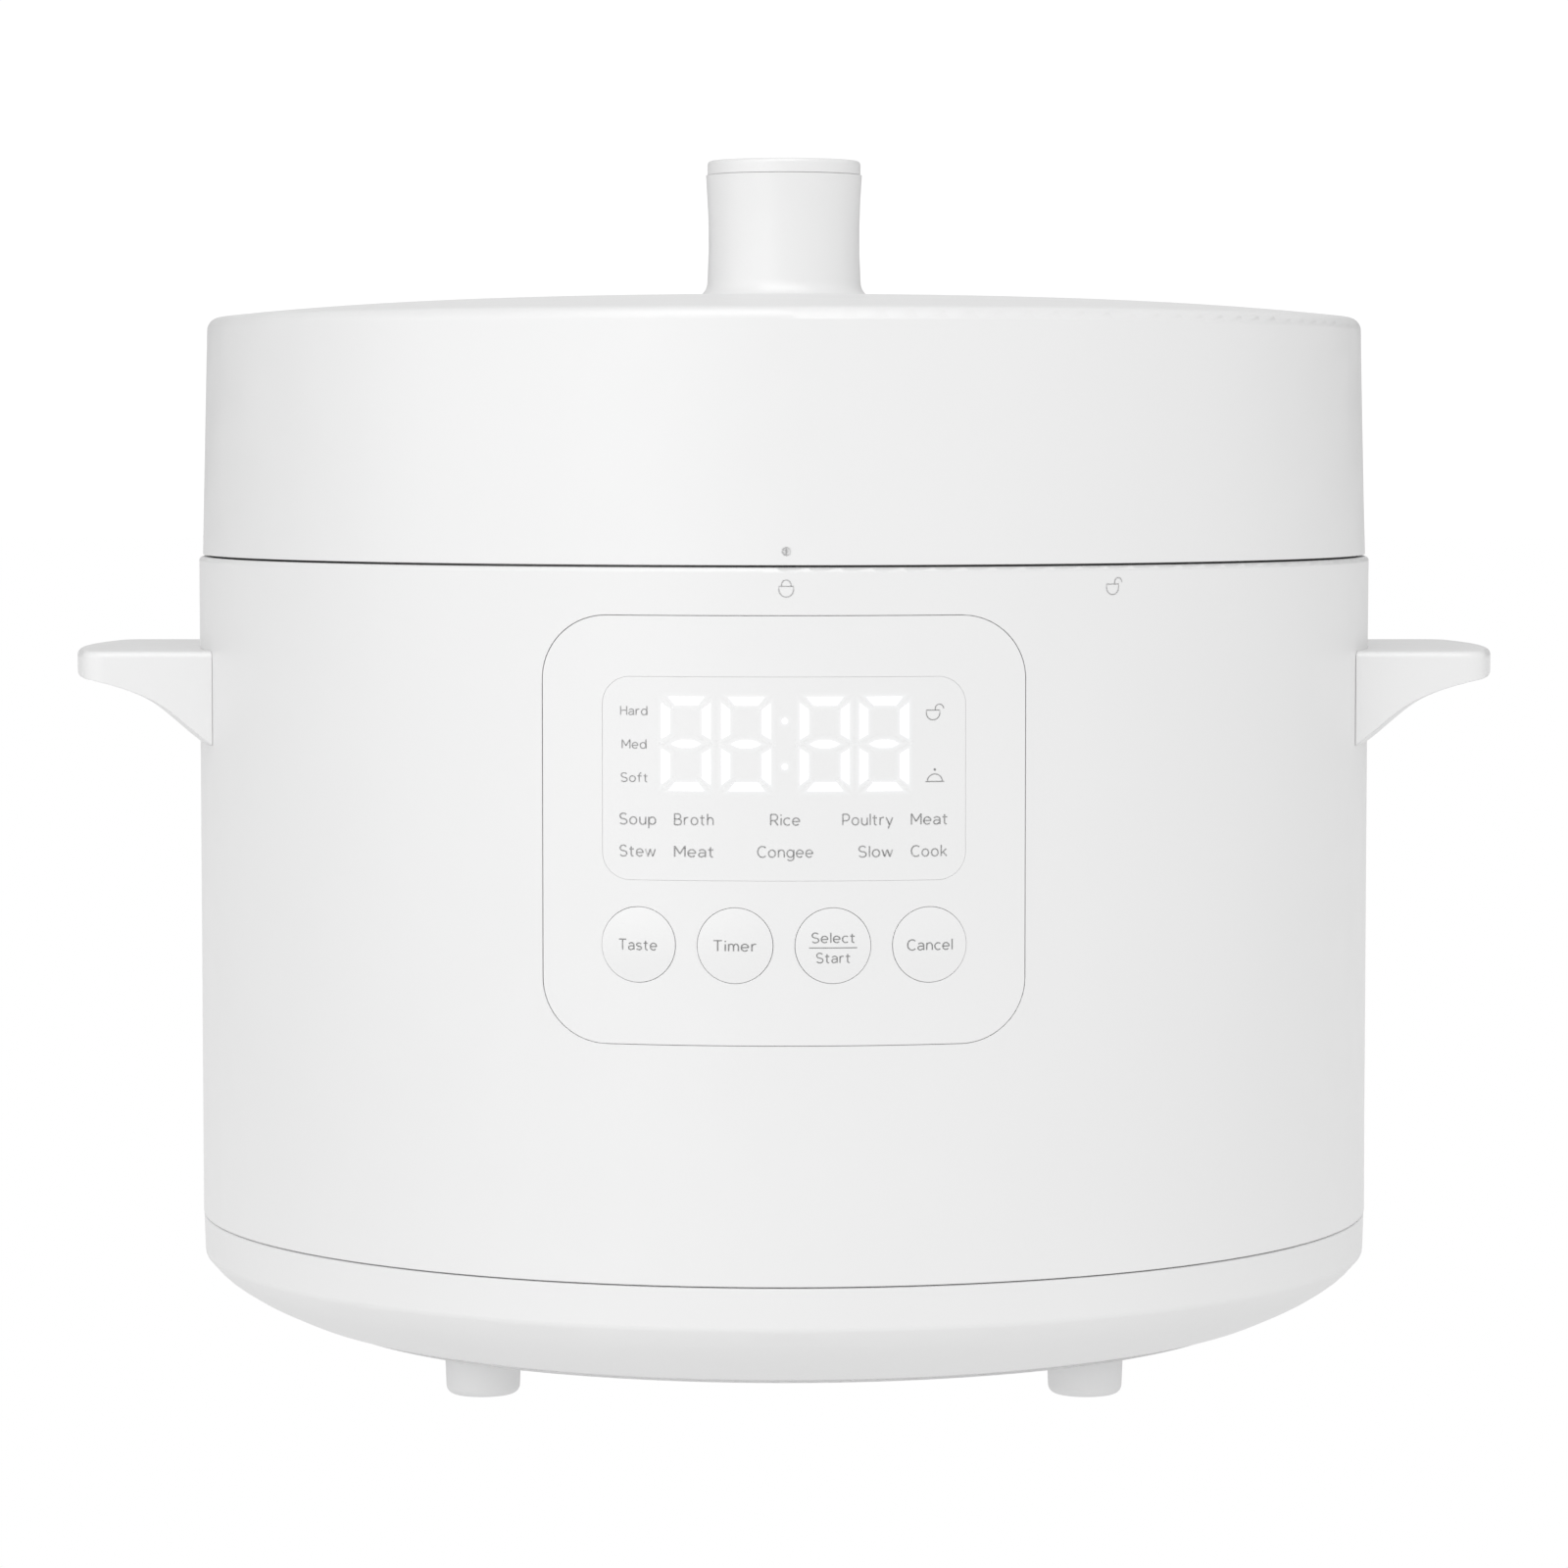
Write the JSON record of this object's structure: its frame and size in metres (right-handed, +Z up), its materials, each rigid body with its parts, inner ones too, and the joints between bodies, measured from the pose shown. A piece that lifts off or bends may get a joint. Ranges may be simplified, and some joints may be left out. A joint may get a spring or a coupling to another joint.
{
  "type": "electric pressure cooker",
  "caption": "White drum-shaped electric pressure cooker with a turn-to-lock domed lid, central knob, side handles and a curved front display panel with round keys.",
  "frame": {"origin": "on the floor, under the vertical axis of the round body, at the middle of the whole object", "axes": "+Z up along the body's axis, -Y towards the control panel at the front, +X towards the right-hand handle as seen from the front"},
  "size_m": [0.3354, 0.2783, 0.2838],
  "materials": {
    "body_white": "satin, fine texture",
    "panel_white": "satin",
    "lens_white": "satin, lets light through",
    "base_white": "matt",
    "foot_grey": "matt",
    "inner_plastic": "matt",
    "led_light": "glowing",
    "circuit_board": "solder mask",
    "chip_black": "matt",
    "steel": "brushed",
    "stainless": "brushed",
    "aluminium": "cast or turned",
    "pot_coating": "non-stick coating",
    "brass": "plain",
    "silicone": "matt",
    "wire_insulation": "satin",
    "label_foil": "satin",
    "inlet_black": "matt"
  },
  "bodies": {
    "cooker_body": {"outer_shell": "body_white", "control_panel": "panel_white", "display_lens": "lens_white", "panel_frame": "inner_plastic", "light_box": "inner_plastic", "display_leds": "led_light", "control_board": "circuit_board", "control_chip": "chip_black", "tact_switches": "chip_black", "board_screws": "steel", "handle_right": "body_white", "handle_left": "body_white", "handle_screws": "steel", "base_cover": "base_white", "foot_front_left": "foot_grey", "foot_front_right": "foot_grey", "foot_rear_left": "foot_grey", "foot_rear_right": "foot_grey", "base_screws": "steel", "rating_plate": "label_foil", "top_ring": "inner_plastic", "outer_pot": "aluminium", "inner_pot": "pot_coating", "heating_plate": "aluminium", "heating_element": "steel", "heater_terminals": "steel", "elastic_plate": "steel", "elastic_plate_screws": "steel", "pressure_switch": "chip_black", "sensor_bracket": "steel", "thermal_fuse": "chip_black", "fuse_clip": "steel", "power_board": "circuit_board", "power_relay": "chip_black", "power_transformer": "chip_black", "board_capacitor": "chip_black", "power_board_screws": "steel", "ribbon_cable": "wire_insulation", "heater_wires": "wire_insulation", "mains_wires": "wire_insulation", "mains_inlet": "inlet_black", "inlet_pins": "brass", "sensor_spring": "steel"},
    "seal": {"sealing_ring": "silicone"},
    "lid": {"lid_cover": "body_white", "lid_plate": "stainless", "lid_screws": "steel", "exhaust_pipe": "stainless", "exhaust_nut": "stainless", "anti_block_shield": "stainless", "float_seal": "silicone"},
    "cap": {"knob_cap": "body_white"},
    "weight": {"exhaust_weight": "stainless"},
    "float": {"float_pin": "stainless"},
    "sensor": {"sensor_cup": "aluminium"},
    "taste_key": {"taste_button": "panel_white"},
    "timer_key": {"timer_button": "panel_white"},
    "start_key": {"start_button": "panel_white"},
    "cancel_key": {"cancel_button": "panel_white"}
  },
  "joints": [
    {"name": "lid_lift", "type": "slide", "parent": "cooker_body", "child": "seal", "axis": [0, 0, 1], "range_m": [0, 0.15]},
    {"name": "lid_turn", "type": "hinge", "parent": "seal", "child": "lid", "pos_m": [0, 0, 0.2], "axis": [0, 0, 1], "range_deg": [0, 30]},
    {"name": "cap_lift", "type": "slide", "parent": "lid", "child": "cap", "axis": [0, 0, 1], "range_m": [0, 0.03]},
    {"name": "weight_lift", "type": "slide", "parent": "lid", "child": "weight", "axis": [0, 0, 1], "range_m": [0, 0.003]},
    {"name": "float_rise", "type": "slide", "parent": "lid", "child": "float", "axis": [0, 0, 1], "range_m": [0, 0.0038]},
    {"name": "sensor_press", "type": "slide", "parent": "cooker_body", "child": "sensor", "axis": [0, 0, -1], "range_m": [0, 0.0015], "stiffness_N_per_m": 600, "springref_m": -0.0005, "deforming": ["sensor_spring"]},
    {"name": "taste_press", "type": "slide", "parent": "cooker_body", "child": "taste_key", "axis": [0.226, 0.9741, 0], "range_m": [0, 0.0006], "stiffness_N_per_m": 700, "springref_m": -0.0006},
    {"name": "timer_press", "type": "slide", "parent": "cooker_body", "child": "timer_key", "axis": [0.0758, 0.9971, 0], "range_m": [0, 0.0006], "stiffness_N_per_m": 700, "springref_m": -0.0006},
    {"name": "start_press", "type": "slide", "parent": "cooker_body", "child": "start_key", "axis": [-0.0758, 0.9971, 0], "range_m": [0, 0.0006], "stiffness_N_per_m": 700, "springref_m": -0.0006},
    {"name": "cancel_press", "type": "slide", "parent": "cooker_body", "child": "cancel_key", "axis": [-0.226, 0.9741, 0], "range_m": [0, 0.0006], "stiffness_N_per_m": 700, "springref_m": -0.0006}
  ]
}
